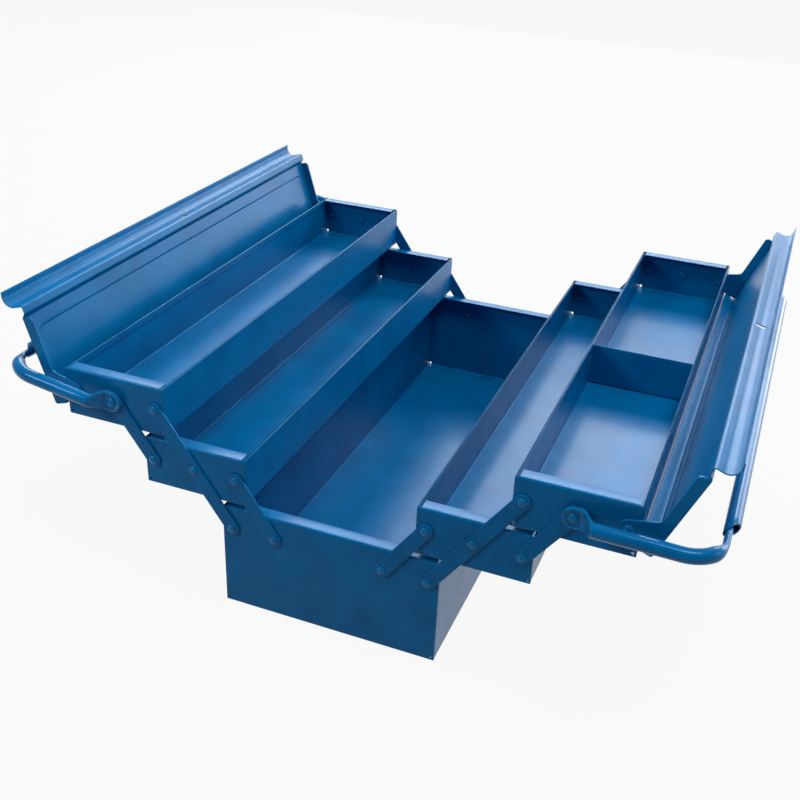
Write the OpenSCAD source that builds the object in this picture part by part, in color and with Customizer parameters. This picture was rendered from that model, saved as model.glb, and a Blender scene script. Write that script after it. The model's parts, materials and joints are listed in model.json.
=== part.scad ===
// Five-tray cantilever tool case in folded sheet steel, drawn with its trays swung out.
// X runs across the case, Y along it from the front end to the back end, and Z is up.
// The origin is the middle of the base tray's underside. All sizes are millimetres.

/* [Base tray] */
// Length of every tray over its end panels
tray_l = 525; // [300:5:700]
// Width of the base tray over its long walls
base_w = 200; // [180:1:230]
// Height of the base tray
base_h = 102; // [80:1:150]

/* [Side trays] */
// Height of each side tray
tray_h = 45; // [38:1:60]
// Gap between the two stacks of trays when they are folded shut
centre_gap = 3; // [1:0.5:6]
// How far the folded side trays sit inside the base tray's outline
stack_inset = 1.5; // [0:0.5:4]
// Gap between a tray and the one below it when folded shut
shut_gap = 1.3; // [0.8:0.1:3]
// Gap between a tray and the one below it when swung out
open_gap = 5; // [3:0.5:9]
// Distance of the cross divider from the middle of the right top tray, towards the front
divider_at = 3; // [-120:1:120]
// How far the divider's edge lies below the tray's rim
divider_drop = 4; // [2:0.5:15]

/* [Sheet] */
// Thickness of the folded sheet
sheet = 1; // [0.8:0.1:1.4]
// Height of the folded hem along each long wall
hem_h = 7; // [4:0.5:12]
// Width of the flange folded in along the top of each end panel
rim_flange = 12; // [8:0.5:16]
// Width of the flange of each end panel that lies on the tray's floor
foot_flange = 9; // [6:0.5:14]
// How far the end flanges stop short of the tray's outline
flange_notch = 3.5; // [2.5:0.5:6]
// Diameter of the relief hole at each lower corner of an end panel
relief_d = 3; // [2:0.5:4]
// Metal left between a relief hole and the folds beside it
relief_web = 0.4; // [0.2:0.1:1]

/* [Links] */
// Distance of every pivot below the rim of its tray
pivot_drop = 20.5; // [17:0.5:24]
// Distance of the long link's pivot in from the top tray's inner wall
long_pivot_in = 8.3; // [8:0.1:16]
// Distance of the short links' pivots in from the middle tray's walls
short_pivot_in = 8.5; // [8:0.5:14]
// Width of the link bars
link_w = 13; // [11:0.5:16]
// Thickness of the link bars
link_t = 2; // [1.5:0.1:3]

/* [Rivets] */
// Diameter of the rivet shanks
rivet_d = 5; // [4:0.5:6]
// Diameter of the domed rivet heads
head_d = 8.5; // [7.5:0.5:10]
// Height of the domed rivet heads
head_h = 2.2; // [1.5:0.1:3]
// Diameter of the washers inside the trays
washer_d = 11; // [9:0.5:13]
// Thickness of the washers inside the trays
washer_t = 0.8; // [0.6:0.1:1.5]
// Diameter of the rolled rivet ends inside the trays
roll_d = 7.4; // [6.5:0.1:8.5]
// Height of the rolled rivet ends inside the trays
roll_h = 1.6; // [1.2:0.1:2.5]
// Diameter of the hollow in the rolled rivet ends
roll_bore = 2.6; // [1.5:0.1:3]
// Thickness left under the hollow in the rolled rivet ends
roll_floor = 0.3; // [0.1:0.1:0.5]
// How much narrower the rolled rivet ends are at their tip
roll_taper = 1.2; // [0.5:0.1:2]

/* [Fits] */
// Radial clearance of a rivet shank in its holes
pin_gap = 0.05; // [0.02:0.01:0.1]
// Clearance between flat faces that slide past each other
face_gap = 0.2; // [0.1:0.05:0.4]

/* [Lids] */
// Angle through which the left lid stands open
lid_open_left = 107; // [100:1:115]
// Angle through which the right lid stands open
lid_open_right = 112; // [100:1:115]
// Distance of the lid pivots in from the tray's outer wall
lid_pivot_in = 8.5; // [7:0.5:12]
// How far the lid reaches out over the tray's outer wall
lid_over = 2.5; // [2:0.5:5]
// Height of the lid's top face above the tray's rim
lid_rise = 5; // [4:0.5:8]
// Clearance of the lid's bead and of its skirt where they come to rest
lid_seat_gap = 0.3; // [0.2:0.05:0.6]
// Width of the bead along the lid's free edge
bead_w = 9.6; // [8:0.2:14]
// Width of the ridge that the two lids form when shut
ridge_w = 20.8; // [17:0.2:26]
// Height of the right lid's ridge above its panel
ridge_h = 11.5; // [10:0.5:15]
// How much higher the left lid's ridge is, so that it laps over the right one
ridge_lap = 2.6; // [2.4:0.1:4]
// Outer radius of the ridge's rolled shoulder
ridge_r = 9; // [8:0.5:10]
// How far each ridge reaches past the middle of the shut case
ridge_reach = 4.8; // [3:0.2:5]
// Fall of the ridge's lip from level
ridge_fall = 15; // [10:1:18]
// Margin round the pressed field of each lid panel
field_margin = 13; // [9:0.5:20]
// Depth by which the field of each lid panel is pressed out
field_step = 0.6; // [0.3:0.1:0.9]
// Height of the padlock slot in each ridge
slot_h = 10.5; // [8:0.5:11]
// Width of the padlock slot in each ridge
slot_w = 5.5; // [5:0.5:8]
// Height of the padlock slot above the floor of the bead
slot_up = 1.2; // [0.8:0.1:2]

/* [Lid brackets] */
// Depth of the strip that closes each end of a lid
strip_h = 8.5; // [6:0.5:11]
// Radius of the bracket's lobe round the lid pivot
lobe_r = 8; // [7:0.5:8]
// Distance from the lid pivot at which the lobe runs into the strip
lobe_run = 19.5; // [15:0.5:26]
// Radius of the strip's corners
strip_r = 3.5; // [2:0.5:4]

/* [Handles] */
// Angle of the left handle's arms above level when it hangs open
handle_open_left = 9; // [0:1:12]
// Angle of the right handle's arms above level when it hangs open
handle_open_right = -1; // [-6:1:12]
// Distance from the left handle's pivot to the middle of its bar
handle_reach_left = 103.5; // [98:0.5:120]
// Distance from the right handle's pivot to the middle of its bar
handle_reach_right = 110; // [98:0.5:120]
// Diameter of the handle's tube
tube_d = 12; // [10:0.5:14]
// Wall of the handle's tube
tube_wall = 1.2; // [0.8:0.1:1.6]
// Radius of the tube's corner bends
bend_r = 28; // [22:0.5:32]
// Diameter of the arm's end where it is drawn down to enter the bar
neck_d = 5.6; // [4:0.2:7]
// Length of the arm's drawn end past the middle of the bar's slanting end, at the least
neck_in = 6; // [5:0.5:15]
// Clearance between the arm's drawn end and the side of the bar's bore that it lies against
neck_gap = 0.3; // [0.2:0.1:0.6]
// Angle of the bend at which the arm starts to be drawn down
neck_from = 50; // [20:5:60]
// Angle of the bend by which the arm is drawn down to its end's diameter
neck_by = 82; // [70:1:88]
// Distance from the arm's centre line to the middle of the bar's slanting end, with the bar centred
bar_inset = 39; // [38:1:60]
// How far each loose bar has slid on its arms, the left one to the front and the right one back
bar_slide = 7; // [0:0.5:8]
// Slant of the bar's ends from square, longer on the pivot side
bar_slant = 50; // [0:5:50]
// Clearance between the arms and the rivet heads they pass over
arm_gap = 3.8; // [0.6:0.1:5]
// Height of the flattened end of each arm
paddle_w = 18.4; // [16:0.2:20]
// Thickness of the flattened end of each arm
paddle_t = 3; // [2.4:0.1:3.6]
// Distance from the edge of the rivet's head to where the arm starts to round out
paddle_past = 1.25; // [0.75:0.25:6]
// Length over which the arm rounds out into a tube
flare_l = 11.5; // [10:0.5:18]

/* [Hidden] */
$fn = 48;

LEFT = -1;
RIGHT = 1;
FRONT = -1;
BACK = 1;

// Paint, as the case shows it in plain light
enamel = "#0F5C93";
enamel_dark = "#0C4F82";
enamel_pale = "#2E78AC";

// Widths and places of the trays. Side trays are drawn for the right side and mirrored.
tray_w = (base_w - centre_gap) / 2 - stack_inset;
open_rise = tray_h + open_gap;
shut_rise = tray_h + shut_gap;

// A long link reaches in by link_in from tray to tray when shut, and out by link_out when open
link_in = tray_w / 2 - long_pivot_in;
link_len = sqrt(pow(link_in, 2) + pow(shut_rise, 2));
link_out = sqrt(pow(link_len, 2) - pow(open_rise, 2));
mid_x = centre_gap / 2 + link_out + link_in;
top_x = mid_x + link_out + link_in;
mid_z = base_h + open_gap;
top_z = mid_z + open_rise;
end_y = tray_l / 2;

// Pivots of the links: distances across from a tray's inner wall, and heights at rest
pivot_pitch = tray_w / 2 - short_pivot_in;
pivot_up = tray_h - pivot_drop;
base_pivot_z = base_h - pivot_drop;
base_outer_x = centre_gap / 2 + tray_w / 2 + link_in;
base_inner_x = base_outer_x - pivot_pitch;
mid_pivots = [tray_w / 2 - pivot_pitch, tray_w / 2, tray_w / 2 + pivot_pitch];
top_inner = tray_w / 2 - link_in;
top_outer = top_inner + pivot_pitch;
lid_pivot = tray_w - lid_pivot_in;
link_tilt = atan2(open_rise, link_out);
handle_x = top_x + top_outer;
lid_x = top_x + lid_pivot;
top_pivot_z = top_z + pivot_up;

// Layers outwards from the outer face of an end panel
link_seat = face_gap;
link_face = link_seat + link_t;
head_seat = link_face + face_gap / 2;
paddle_seat = link_face + face_gap;
paddle_face = paddle_seat + paddle_t;
paddle_head_seat = paddle_face + face_gap / 2;
paddle_l = head_d / 2 + paddle_past;
arm_y = head_seat + head_h + arm_gap + tube_d / 2;

// The lid's profile, measured outwards and upwards from its pivot with the lid shut
lid_l = tray_l + 2 * link_face;
lid_out = lid_pivot_in + lid_over;
lid_top = pivot_drop + lid_rise;
centre_in = centre_gap / 2 + lid_pivot;
ridge_at = -(centre_in - ridge_w / 2);
bead_at = ridge_at + bead_w;
bead_fall = lid_rise - sheet - lid_seat_gap;
bead_top = lid_top - bead_fall;
slot_z = bead_top + slot_up + slot_h / 2;

// The handle's drawn neck, which lies on the pivot side of the bar's bore, and its bar
bar_half = end_y + arm_y - bar_inset;
neck_y = end_y + arm_y - bend_r;

// How far cutting bodies run past what they cut, and joined bodies run into each other
overlap = 0.5;
// How far a shape drawn as triangles stays inside the round one that it joins
seam = 0.02;
// Faces of the rounded shapes that are drawn as triangles, and the step of drawn arcs
tube_sides = 32;
neck_sides = 20;
arc_step = 7.5;

// Depth of the skirt whose edge meets the tray's outer wall at the given opening angle
function skirt_h(angle) =
    lid_top - (lid_pivot_in + lid_seat_gap - lid_out * cos(angle)) / sin(angle);

// Height of the top of the ridge on each side
function ridge_top(side) = lid_top + ridge_h + (side == LEFT ? ridge_lap : 0);

function lid_open(side) = side == LEFT ? lid_open_left : lid_open_right;

function handle_open(side) = side == LEFT ? handle_open_left : handle_open_right;

function handle_reach(side) = side == LEFT ? handle_reach_left : handle_reach_right;

// Distance from the handle's pivot to the centre line of the arm's drawn end
function neck_x(side) = handle_reach(side) - (tube_d / 2 - tube_wall - neck_d / 2 - neck_gap);

// Points of an arc of the given centre and radius, from one angle to another
function arc(centre, r, from, to) =
    let (steps = ceil(abs(to - from) / arc_step), step = (to - from) / steps)
    [for (i = [0 : steps]) centre + r * [cos(from + i * step), sin(from + i * step)]];

// Draws its children for the right side or mirrors them to the left one
module on_side(side) {
    if (side == LEFT) mirror([1, 0, 0]) children();
    else children();
}

// Draws its children at the front end or mirrors them to the back one
module at_end(end) {
    if (end == BACK) mirror([0, 1, 0]) children();
    else children();
}

// Stands a cylinder on its side, from y0 outwards (towards -Y) over the given length
module along_y(d, y0, len) {
    translate([0, y0, 0]) rotate([90, 0, 0]) cylinder(d = d, h = len);
}

// Floor and two hemmed long walls of one tray, folded from one sheet
module tray_shell(w, h) {
    inner_l = tray_l - 2 * sheet;
    translate([0, -inner_l / 2, 0]) cube([w, inner_l, sheet]);
    for (x = [0, w - sheet]) translate([x, -inner_l / 2, 0]) cube([sheet, inner_l, h]);
    for (x = [sheet, w - 2 * sheet])
        translate([x, -inner_l / 2, h - hem_h]) cube([sheet, inner_l, hem_h]);
}

// Front end panel of one tray, with its rim flange, foot flange, rivet holes and relief holes
module tray_end(w, h, pivots) {
    relief_in = sheet + relief_d / 2 + relief_web;
    foot_in = 2 * relief_in;
    difference() {
        union() {
            translate([0, -end_y, 0]) cube([w, sheet, h]);
            translate([flange_notch, -end_y, h - sheet])
                cube([w - 2 * flange_notch, rim_flange, sheet]);
            translate([foot_in, -end_y, sheet]) cube([w - 2 * foot_in, foot_flange, sheet]);
        }
        for (x = pivots) translate([x, 0, h - pivot_drop])
            along_y(rivet_d + 2 * pin_gap, overlap - end_y + sheet, sheet + 2 * overlap);
        for (x = [relief_in, w - relief_in]) translate([x, 0, relief_in])
            along_y(relief_d, overlap - end_y + sheet, sheet + 2 * overlap);
    }
}

// One rivet at the front end, with its head on the given layer and its rolled end inside
module rivet(seat) {
    dome_r = (pow(head_d / 2, 2) + pow(head_h, 2)) / (2 * head_h);
    inside = -end_y + sheet + washer_t;
    along_y(rivet_d, inside + overlap, inside + overlap + end_y + seat + overlap);
    intersection() {
        translate([0, -end_y - seat - head_h + dome_r, 0]) sphere(r = dome_r);
        along_y(head_d, -end_y - seat, head_h + overlap);
    }
    difference() {
        translate([0, inside, 0]) rotate([-90, 0, 0])
            cylinder(d1 = roll_d, d2 = roll_d - roll_taper, h = roll_h);
        along_y(roll_bore, inside + roll_h + overlap, roll_h + overlap - roll_floor);
    }
}

// One washer inside the front end panel
module washer() {
    difference() {
        along_y(washer_d, -end_y + sheet + washer_t, washer_t);
        along_y(rivet_d + 2 * pin_gap, -end_y + sheet + washer_t + overlap, washer_t + 2 * overlap);
    }
}

// A flat link bar with round ends and a hole at each of its pivots, seated at the front end
module link(holes) {
    run = max(holes);
    translate([0, -end_y - link_seat, 0]) rotate([90, 0, 0]) difference() {
        union() {
            translate([0, -link_w / 2, 0]) cube([run, link_w, link_t]);
            for (x = [0, run]) translate([x, 0, 0]) cylinder(d = link_w, h = link_t);
        }
        for (x = holes) translate([x, 0, -overlap])
            cylinder(d = rivet_d + 2 * pin_gap, h = link_t + 2 * overlap);
    }
}

module base_shell() {
    color(enamel) translate([-base_w / 2, 0, 0]) tray_shell(base_w, base_h);
}

module base_end(end) {
    pivots = [for (x = [-base_outer_x, -base_inner_x, base_inner_x, base_outer_x]) x + base_w / 2];
    color(enamel_dark) at_end(end) translate([-base_w / 2, 0, 0]) tray_end(base_w, base_h, pivots);
}

// Repeats its children at the base tray's eight pivots
module at_base_pivots() {
    for (end = [FRONT, BACK]) at_end(end)
        for (x = [-base_outer_x, -base_inner_x, base_inner_x, base_outer_x])
            translate([x, 0, base_pivot_z]) children();
}

module base_rivets() {
    color(enamel_pale) at_base_pivots() rivet(head_seat);
}

module base_washers() {
    color(enamel_dark) at_base_pivots() washer();
}

module mid_shell(side) {
    color(enamel) on_side(side) translate([mid_x, 0, mid_z]) tray_shell(tray_w, tray_h);
}

module mid_end(side, end) {
    color(enamel_dark) on_side(side) at_end(end) translate([mid_x, 0, mid_z])
        tray_end(tray_w, tray_h, mid_pivots);
}

// Repeats its children at the six pivots of one middle tray
module at_mid_pivots(side) {
    on_side(side) for (end = [FRONT, BACK]) at_end(end)
        for (x = mid_pivots) translate([mid_x + x, 0, mid_z + pivot_up]) children();
}

module mid_rivets(side) {
    color(enamel_pale) at_mid_pivots(side) rivet(head_seat);
}

module mid_washers(side) {
    color(enamel_dark) at_mid_pivots(side) washer();
}

module top_shell(side) {
    color(enamel) on_side(side) translate([top_x, 0, top_z]) tray_shell(tray_w, tray_h);
}

module top_end(side, end) {
    color(enamel_dark) on_side(side) at_end(end) translate([top_x, 0, top_z])
        tray_end(tray_w, tray_h, [top_inner, top_outer, lid_pivot]);
}

// Rivets of one top tray: the long link's, the one that also carries the handle, and the lid's
module top_rivets(side) {
    color(enamel_pale) on_side(side) for (end = [FRONT, BACK]) at_end(end)
        translate([top_x, 0, top_pivot_z]) {
            translate([top_inner, 0, 0]) rivet(head_seat);
            translate([top_outer, 0, 0]) rivet(paddle_head_seat);
            translate([lid_pivot, 0, 0]) rivet(head_seat);
        }
}

module top_washers(side) {
    color(enamel_dark) on_side(side) for (end = [FRONT, BACK]) at_end(end)
        for (x = [top_inner, top_outer, lid_pivot])
            translate([top_x + x, 0, top_pivot_z]) washer();
}

// Cross divider of the right top tray, an upright plate with a foot welded to the floor
module divider() {
    plate_w = tray_w - 2 * sheet;
    color(enamel) translate([top_x + sheet, -divider_at, top_z + sheet]) {
        difference() {
            cube([plate_w, sheet, tray_h - sheet - divider_drop]);
            for (x = [-overlap, plate_w - sheet])
                translate([x, -overlap, tray_h - sheet - hem_h])
                    cube([sheet + overlap, sheet + 2 * overlap, hem_h]);
        }
        cube([plate_w, foot_flange, sheet]);
    }
}

module long_link(side, end) {
    color(enamel) on_side(side) at_end(end) translate([base_outer_x, 0, base_pivot_z])
        rotate([0, -link_tilt, 0]) link([0, link_len, 2 * link_len]);
}

module lower_link(side, end) {
    color(enamel) on_side(side) at_end(end) translate([base_inner_x, 0, base_pivot_z])
        rotate([0, -link_tilt, 0]) link([0, link_len]);
}

module upper_link(side, end) {
    color(enamel) on_side(side) at_end(end) translate([mid_x + mid_pivots[2], 0, mid_z + pivot_up])
        rotate([0, -link_tilt, 0]) link([0, link_len]);
}

// Moves its children from the shut lid's frame to where the lid stands open
module lid_frame(side) {
    on_side(side) translate([lid_x, 0, top_pivot_z]) rotate([0, lid_open(side), 0]) children();
}

// Outline of the ridge: up its wall, round the rolled shoulder, along the lip and back inside
function ridge_outline(side) =
    let (
        mid = [ridge_at - ridge_r, ridge_top(side) - ridge_r],
        turn = 90 + ridge_fall,
        lip_l = (mid[0] - ridge_r * sin(ridge_fall) + centre_in + ridge_reach) / cos(ridge_fall),
        along = -lip_l * [cos(ridge_fall), sin(ridge_fall)],
        out = [cos(turn), sin(turn)]
    )
    concat(
        arc(mid, ridge_r, 0, turn),
        [mid + ridge_r * out + along, mid + (ridge_r - sheet) * out + along],
        arc(mid, ridge_r - sheet, turn, 0)
    );

// Outline of one lid across its length: skirt, panel, bead, ridge and back along the inside
function lid_outline(side) =
    let (
        skirt = lid_top - skirt_h(lid_open(side)),
        slope = sheet * tan(22.5),
        inside = lid_out - sheet
    )
    concat(
        [[lid_out, skirt], [lid_out, lid_top], [bead_at, lid_top]],
        [[bead_at - bead_fall, bead_top], [ridge_at, bead_top]],
        ridge_outline(side),
        [[ridge_at - sheet, bead_top - sheet], [bead_at - bead_fall + slope, bead_top - sheet]],
        [[bead_at + slope, lid_top - sheet], [inside, lid_top - sheet]],
        [[inside, skirt + hem_h], [inside - sheet, skirt + hem_h], [inside - sheet, skirt]]
    );

// Cutter for the padlock slot, an upright slot with round ends through the ridge's wall
module slot_cut() {
    straight = (slot_h - slot_w) / 2;
    outline = concat(
        arc([0, straight], slot_w / 2, 0, 180),
        arc([0, -straight], slot_w / 2, 180, 360)
    );
    translate([ridge_at - ridge_r / 2, 0, slot_z]) rotate([90, 0, 90])
        linear_extrude(ridge_r) polygon(outline);
}

// Sheet of one lid, with its pressed field and its padlock slot
module lid(side) {
    field = [lid_out - field_margin, bead_at + field_margin];
    field_l = lid_l - 2 * field_margin;
    color(enamel) lid_frame(side) difference() {
        union() {
            translate([0, lid_l / 2, 0]) rotate([90, 0, 0]) linear_extrude(lid_l)
                polygon(lid_outline(side));
            translate([field[1], -field_l / 2, lid_top - overlap])
                cube([field[0] - field[1], field_l, field_step + overlap]);
        }
        translate([field[1] + sheet, sheet - field_l / 2, lid_top - sheet - overlap])
            cube([field[0] - field[1] - 2 * sheet, field_l - 2 * sheet, field_step + overlap]);
        slot_cut();
    }
}

// Flat bracket at one end of a lid: a strip under the panel and a lobe round the lid pivot
module lid_bracket(side, end) {
    under = lid_top - sheet;
    strip_end = bead_at + sheet;
    corner = [strip_end + strip_r, under - strip_h + strip_r];
    out = lid_out - 2 * sheet;
    run = [-lobe_run, under - strip_h];
    touch = 180 - atan2(run[1], lobe_run) + acos(lobe_r / norm(run));
    near = atan2(lobe_r, out) - acos(lobe_r / norm([out, lobe_r])) + 360;
    outline = concat(
        [[out, under], [strip_end, under]],
        arc(corner, strip_r, 180, 270),
        [run],
        arc([0, 0], lobe_r, touch, near),
        [[out, lobe_r]]
    );
    color(enamel_dark) lid_frame(side) at_end(end) translate([0, -end_y - link_seat, 0])
        rotate([90, 0, 0]) difference() {
            linear_extrude(link_t) polygon(outline);
            translate([0, 0, -overlap]) cylinder(d = rivet_d + 2 * pin_gap, h = link_t + 2 * overlap);
        }
}

// Moves its children from the handle's own frame, arms along +X, to where it hangs open
module handle_frame(side) {
    on_side(side) translate([handle_x, 0, top_pivot_z]) rotate([0, -handle_open(side), 0]) children();
}

// The handle's bar, a tube with open ends that are cut on the slant
module handle_bar(side) {
    tip = bar_half + tube_d / 2 * tan(bar_slant) + overlap;
    saw = 2 * (tip - bar_half) + tube_d;
    slide = side == LEFT ? -bar_slide : bar_slide;
    color(enamel_pale) handle_frame(side) translate([handle_reach(side), slide, 0]) difference() {
        along_y(tube_d, tip, 2 * tip);
        along_y(tube_d - 2 * tube_wall, tip + overlap, 2 * (tip + overlap));
        for (end = [FRONT, BACK]) at_end(end) translate([0, -bar_half, 0])
            rotate([0, 0, bar_slant]) translate([-saw / 2, -saw, -tube_d])
                cube([saw, saw, 2 * tube_d]);
    }
}

// Centre of the arm's bend at a bend angle, in the plane of the handle
function bend_point(side, a) = [neck_x(side) - bend_r + bend_r * sin(a), -neck_y - bend_r * cos(a)];

// Radius of the arm at a bend angle, drawn down evenly from one angle to another
function bend_radius(a) = let (drawn = min(1, max(0, (a - neck_from) / (neck_by - neck_from))))
    (tube_d / 2 - seam) * (1 - drawn) + neck_d / 2 * drawn;

// The drawn end of the arm. Each ring is its centre's x and y, its bend angle and its radius.
module arm_neck(side) {
    bend_step = 7.5;
    lead = [[neck_x(side) - bend_r - overlap, -neck_y - bend_r, 0, bend_radius(0)]];
    bend = [for (a = [0 : bend_step : 90]) let (at = bend_point(side, a))
        [at[0], at[1], a, bend_radius(a)]];
    tail = [[neck_x(side), neck_in + bar_slide - bar_half, 90, neck_d / 2]];
    rings = concat(lead, bend, tail);
    points = [for (r = rings) for (i = [0 : neck_sides - 1])
        let (c = r[3] * cos(360 * i / neck_sides), s = r[3] * sin(360 * i / neck_sides))
        [r[0] + c * sin(r[2]), r[1] - c * cos(r[2]), s]];
    walls = [for (k = [0 : len(rings) - 2]) for (i = [0 : neck_sides - 1])
        let (j = (i + 1) % neck_sides, a = k * neck_sides, b = a + neck_sides)
        each [[a + i, a + j, b + j], [a + i, b + j, b + i]]];
    last = (len(rings) - 1) * neck_sides;
    caps = [for (i = [1 : neck_sides - 2]) each [[0, i + 1, i], [last, last + i, last + i + 1]]];
    polyhedron(points, concat(walls, caps));
}

// One arm: flattened end on the pivot, a flare, the straight tube and the drawn neck
module handle_arm(side, end) {
    tube_from = paddle_l + flare_l;
    tube_to = neck_x(side) - bend_r;
    color(enamel_pale) handle_frame(side) at_end(end) {
        difference() {
            translate([0, -end_y - paddle_seat, 0]) rotate([90, 0, 0]) union() {
                cylinder(d = paddle_w, h = paddle_t);
                translate([0, -paddle_w / 2, 0]) cube([paddle_l, paddle_w, paddle_t]);
            }
            along_y(rivet_d + 2 * pin_gap, -end_y, arm_y);
        }
        hull() {
            translate([paddle_l - overlap, -end_y - paddle_face, -paddle_w / 2])
                cube([overlap, paddle_t, paddle_w]);
            translate([tube_from, -end_y - arm_y, 0]) rotate([0, 90, 0])
                cylinder(d = tube_d - 2 * seam, h = overlap, $fn = tube_sides);
        }
        translate([tube_from, -end_y - arm_y, 0]) rotate([0, 90, 0])
            cylinder(d = tube_d, h = tube_to - tube_from);
        arm_neck(side);
    }
}

base_shell();
base_end(FRONT);  // base_end_front
base_end(BACK);  // base_end_back
base_rivets();
base_washers();

mid_shell(LEFT);  // mid_shell_left
mid_end(LEFT, FRONT);  // mid_end_front_left
mid_end(LEFT, BACK);  // mid_end_back_left
mid_rivets(LEFT);  // mid_rivets_left
mid_washers(LEFT);  // mid_washers_left

mid_shell(RIGHT);  // mid_shell_right
mid_end(RIGHT, FRONT);  // mid_end_front_right
mid_end(RIGHT, BACK);  // mid_end_back_right
mid_rivets(RIGHT);  // mid_rivets_right
mid_washers(RIGHT);  // mid_washers_right

top_shell(LEFT);  // top_shell_left
top_end(LEFT, FRONT);  // top_end_front_left
top_end(LEFT, BACK);  // top_end_back_left
top_rivets(LEFT);  // top_rivets_left
top_washers(LEFT);  // top_washers_left

top_shell(RIGHT);  // top_shell_right
top_end(RIGHT, FRONT);  // top_end_front_right
top_end(RIGHT, BACK);  // top_end_back_right
top_rivets(RIGHT);  // top_rivets_right
top_washers(RIGHT);  // top_washers_right
divider();  // divider_right

long_link(LEFT, FRONT);  // long_link_front_left
long_link(LEFT, BACK);  // long_link_back_left
long_link(RIGHT, FRONT);  // long_link_front_right
long_link(RIGHT, BACK);  // long_link_back_right

lower_link(LEFT, FRONT);  // lower_link_front_left
lower_link(LEFT, BACK);  // lower_link_back_left
lower_link(RIGHT, FRONT);  // lower_link_front_right
lower_link(RIGHT, BACK);  // lower_link_back_right

upper_link(LEFT, FRONT);  // upper_link_front_left
upper_link(LEFT, BACK);  // upper_link_back_left
upper_link(RIGHT, FRONT);  // upper_link_front_right
upper_link(RIGHT, BACK);  // upper_link_back_right

lid(LEFT);  // lid_left
lid_bracket(LEFT, FRONT);  // lid_bracket_front_left
lid_bracket(LEFT, BACK);  // lid_bracket_back_left
lid(RIGHT);  // lid_right
lid_bracket(RIGHT, FRONT);  // lid_bracket_front_right
lid_bracket(RIGHT, BACK);  // lid_bracket_back_right

handle_bar(LEFT);  // handle_bar_left
handle_arm(LEFT, FRONT);  // handle_arm_front_left
handle_arm(LEFT, BACK);  // handle_arm_back_left
handle_bar(RIGHT);  // handle_bar_right
handle_arm(RIGHT, FRONT);  // handle_arm_front_right
handle_arm(RIGHT, BACK);  // handle_arm_back_right
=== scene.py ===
"""Five-tray cantilever tool case in blue enamelled sheet steel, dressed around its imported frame.

Every piece is drawn in millimetres for the right side and the front end of the case, mirrored to
where it belongs, and written into a mesh in metres. X runs across the case, Y from the front end
to the back end, and Z is up.
"""

from __future__ import annotations

import json
import logging
import math
from dataclasses import dataclass
from enum import Enum
from typing import Any, Sequence

import bpy
import numpy as np
from mathutils import Matrix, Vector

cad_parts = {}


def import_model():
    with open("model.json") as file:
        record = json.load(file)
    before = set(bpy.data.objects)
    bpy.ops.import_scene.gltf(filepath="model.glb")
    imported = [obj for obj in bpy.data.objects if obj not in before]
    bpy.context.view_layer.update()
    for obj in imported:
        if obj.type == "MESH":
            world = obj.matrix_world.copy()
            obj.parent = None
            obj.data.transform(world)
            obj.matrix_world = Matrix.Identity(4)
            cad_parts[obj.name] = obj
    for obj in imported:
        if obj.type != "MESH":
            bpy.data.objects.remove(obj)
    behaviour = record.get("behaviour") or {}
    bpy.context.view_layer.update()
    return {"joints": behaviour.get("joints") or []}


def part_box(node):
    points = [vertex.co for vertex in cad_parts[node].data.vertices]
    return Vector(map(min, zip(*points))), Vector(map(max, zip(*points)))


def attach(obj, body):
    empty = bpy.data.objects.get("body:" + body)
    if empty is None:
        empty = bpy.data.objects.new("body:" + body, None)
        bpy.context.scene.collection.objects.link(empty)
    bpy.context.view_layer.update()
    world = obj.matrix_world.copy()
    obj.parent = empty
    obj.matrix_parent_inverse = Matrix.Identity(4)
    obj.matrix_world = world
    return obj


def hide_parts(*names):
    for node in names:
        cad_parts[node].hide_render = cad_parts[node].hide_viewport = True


LOG = logging.getLogger("tool_case")

Array = np.ndarray

# Metres in a millimetre
MM = 0.001
# Side of the square photograph, in pixels
PHOTO_SIDE = 800
# Step of the arcs along a bend in the sheet, in degrees
BEND_STEP = 15.0
# Distance of the rows that keep a flat face's shading flat beside a bend, in mm
FLAT_ROW = 0.35
# Angle between faces past which an edge is drawn sharp, in degrees
SHARP_ANGLE = 50.0
# Where a quarter-round edge is sampled between its ends, as a share of its radius
QUARTER = 1.0 - math.cos(math.pi / 4)
# Points round each sheared end of a sheet
SHEAR_POINTS = 4
# Sides of drilled holes, and of rivets and washers
HOLE_SIDES = 40
TURNED_SIDES = 36
# Length of the drills, and how far other cutters run past what they cut, in mm
DRILL_L = 6.0
PAST = 1.0
# Gap between the two sides of the shut case, in mm
CENTRE_GAP = 3.0
# Radius, and depth past the washer, of the points along a rivet's rolled end, in mm
ROLLED_END = np.array([
    (0, 0.5), (0.9, 0.55), (1.25, 0.9), (1.5, 1.35), (2.0, 1.6), (2.65, 1.55), (3.2, 1.25),
    (3.6, 0.7), (3.7, 0.15), (3.6, 0),
])
# Distance in from the rim of a rivet's head, and out from its seat, of the points there, in mm
HEAD_RIM = np.array([(0.25, 0), (0.05, 0.06), (0, 0.2)])
# Places of the rows across an edge of a lid's pressed field, from that edge, in mm
FIELD_ROWS = np.concatenate([np.arange(-1.0, 1.01, 0.4), np.linspace(1.6, 7.2, 9)])
# Places of the rows at each pinched end of a handle's bar, from that end, in mm
PINCH_ROWS = np.array([0, 0.5, 1.5, 3, 5, 7.5, 10.5, 14, 18, 22, 26])


class Sign(Enum):
    """A side or an end of the case, as the sign of its coordinate."""

    @property
    def tag(self) -> str:
        """Name of the side or the end as the nodes write it."""
        return self.name.lower()


class Side(Sign):
    """Side of the case on which a piece lies, as the sign of its X."""

    LEFT = -1
    RIGHT = 1


class End(Sign):
    """End of the case at which a piece lies, as the sign of its Y."""

    FRONT = -1
    BACK = 1


class Slot(Enum):
    """Material slots of the record that the pieces take their finish from."""

    TRAYS = "trays"
    LIDS = "lids"
    LINKS = "links"
    HANDLES = "handles"
    RIVETS = "rivets"


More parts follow.
